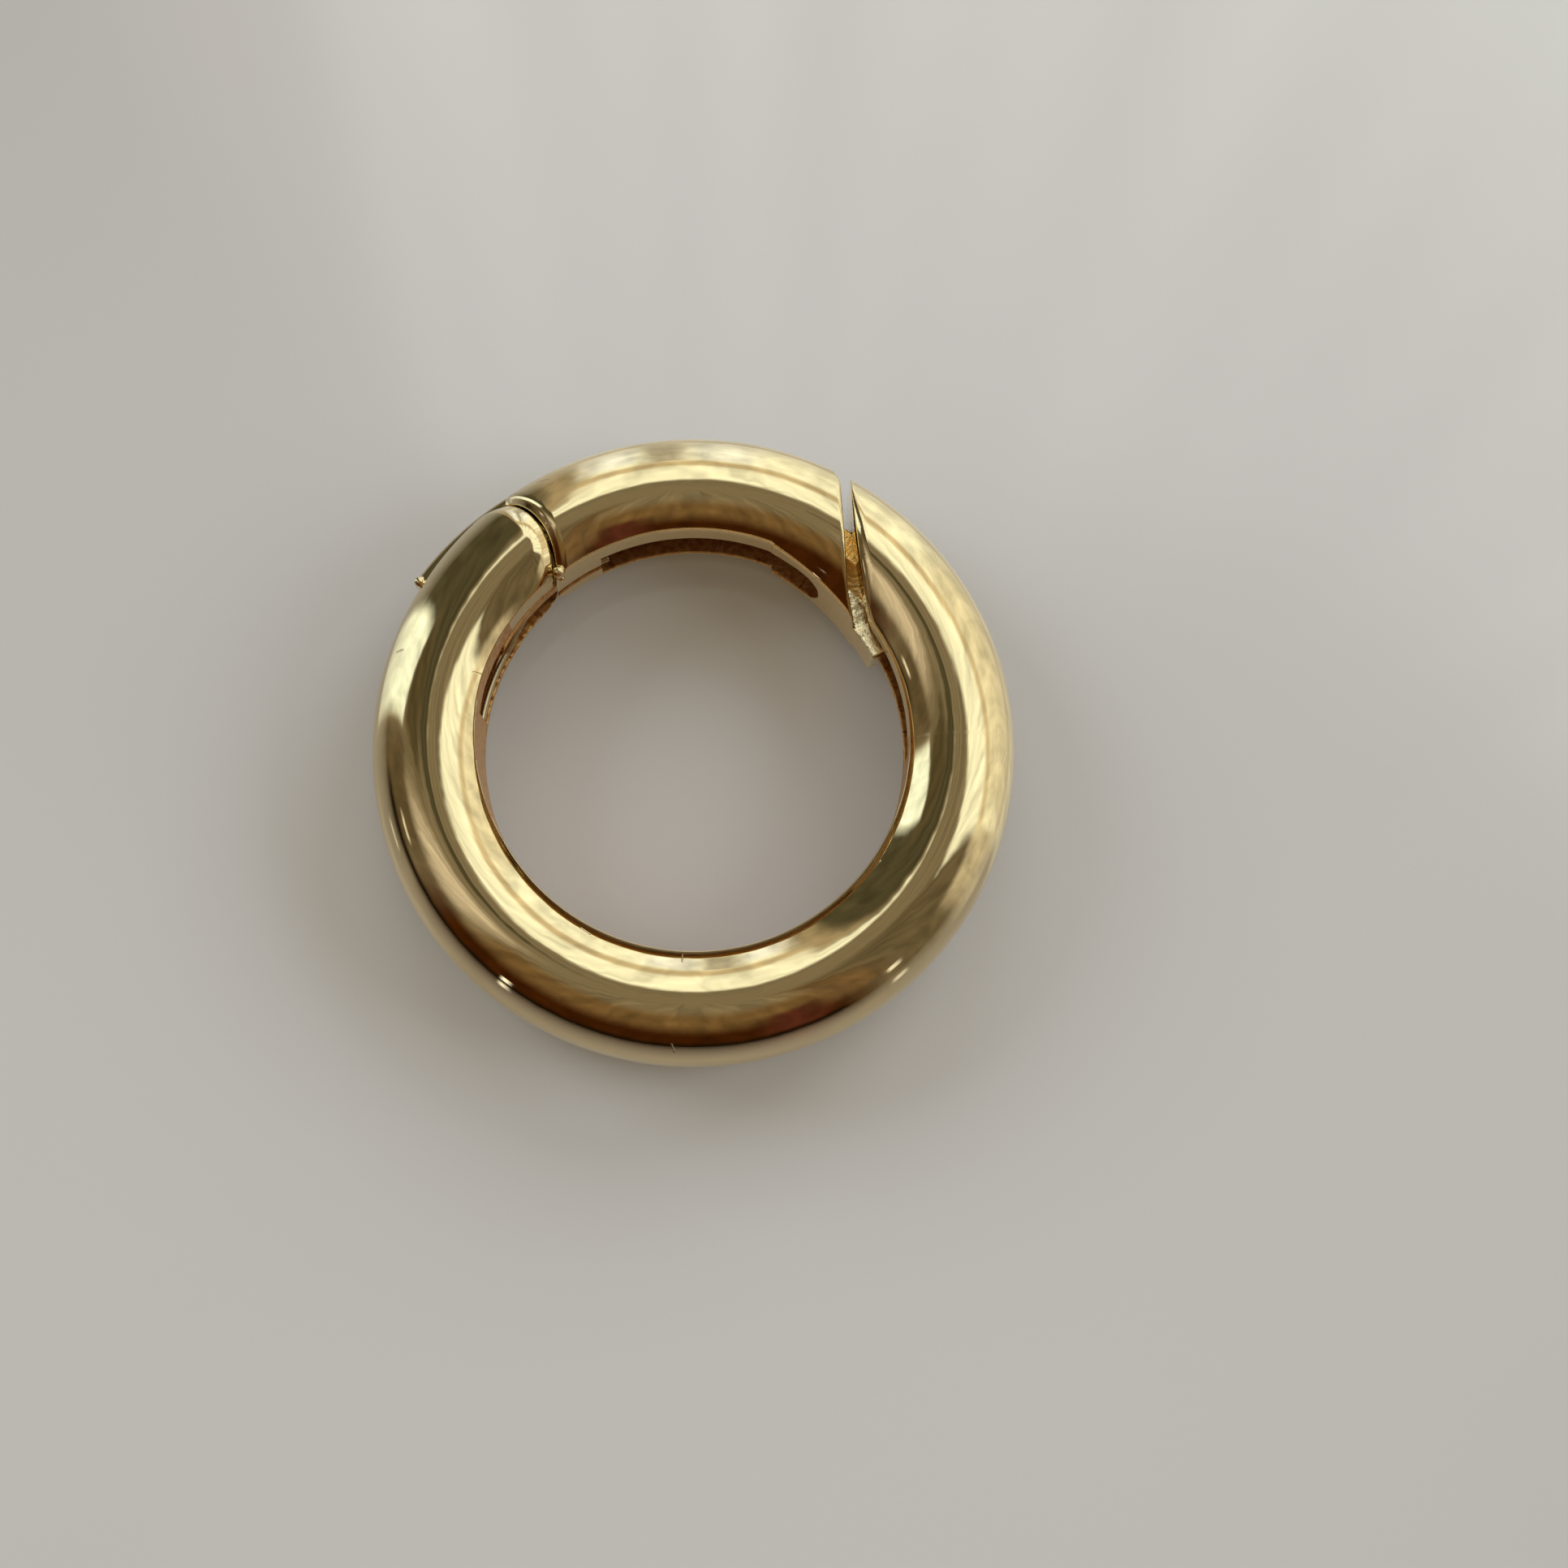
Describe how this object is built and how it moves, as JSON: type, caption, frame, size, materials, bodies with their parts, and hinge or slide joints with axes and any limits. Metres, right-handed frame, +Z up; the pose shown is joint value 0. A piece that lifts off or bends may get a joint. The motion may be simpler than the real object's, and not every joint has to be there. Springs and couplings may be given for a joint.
{
  "type": "spring gate ring clasp",
  "caption": "Round gold-tone ring clasp with a spring-closed gate that swings inward on a hidden pin, leaving a mouth for a chain end or a strap loop.",
  "frame": {"origin": "centre of the ring in plan, on the surface that it lies on", "axes": "+Z up along the ring's axis, +X to the mouth's side, +Y to the gate"},
  "size_m": [0.025, 0.025, 0.0047],
  "materials": {
    "body_gold": "polished",
    "gate_gold": "polished",
    "pin_metal": "polished",
    "spring_wire": "drawn wire"
  },
  "bodies": {
    "ring": {"ring_body": "body_gold", "hinge_pin": "pin_metal", "spring": "spring_wire"},
    "gate_body": {"gate": "gate_gold"}
  },
  "joints": [
    {"name": "gate_hinge", "type": "hinge", "parent": "ring", "child": "gate_body", "pos_m": [-0.00861, 0.00661, 0.00235], "axis": [0, 0, -1], "range_deg": [0, 40], "stiffness_Nm_per_rad": 0.001, "springref_deg": -28.65, "deforming": ["spring"]}
  ]
}
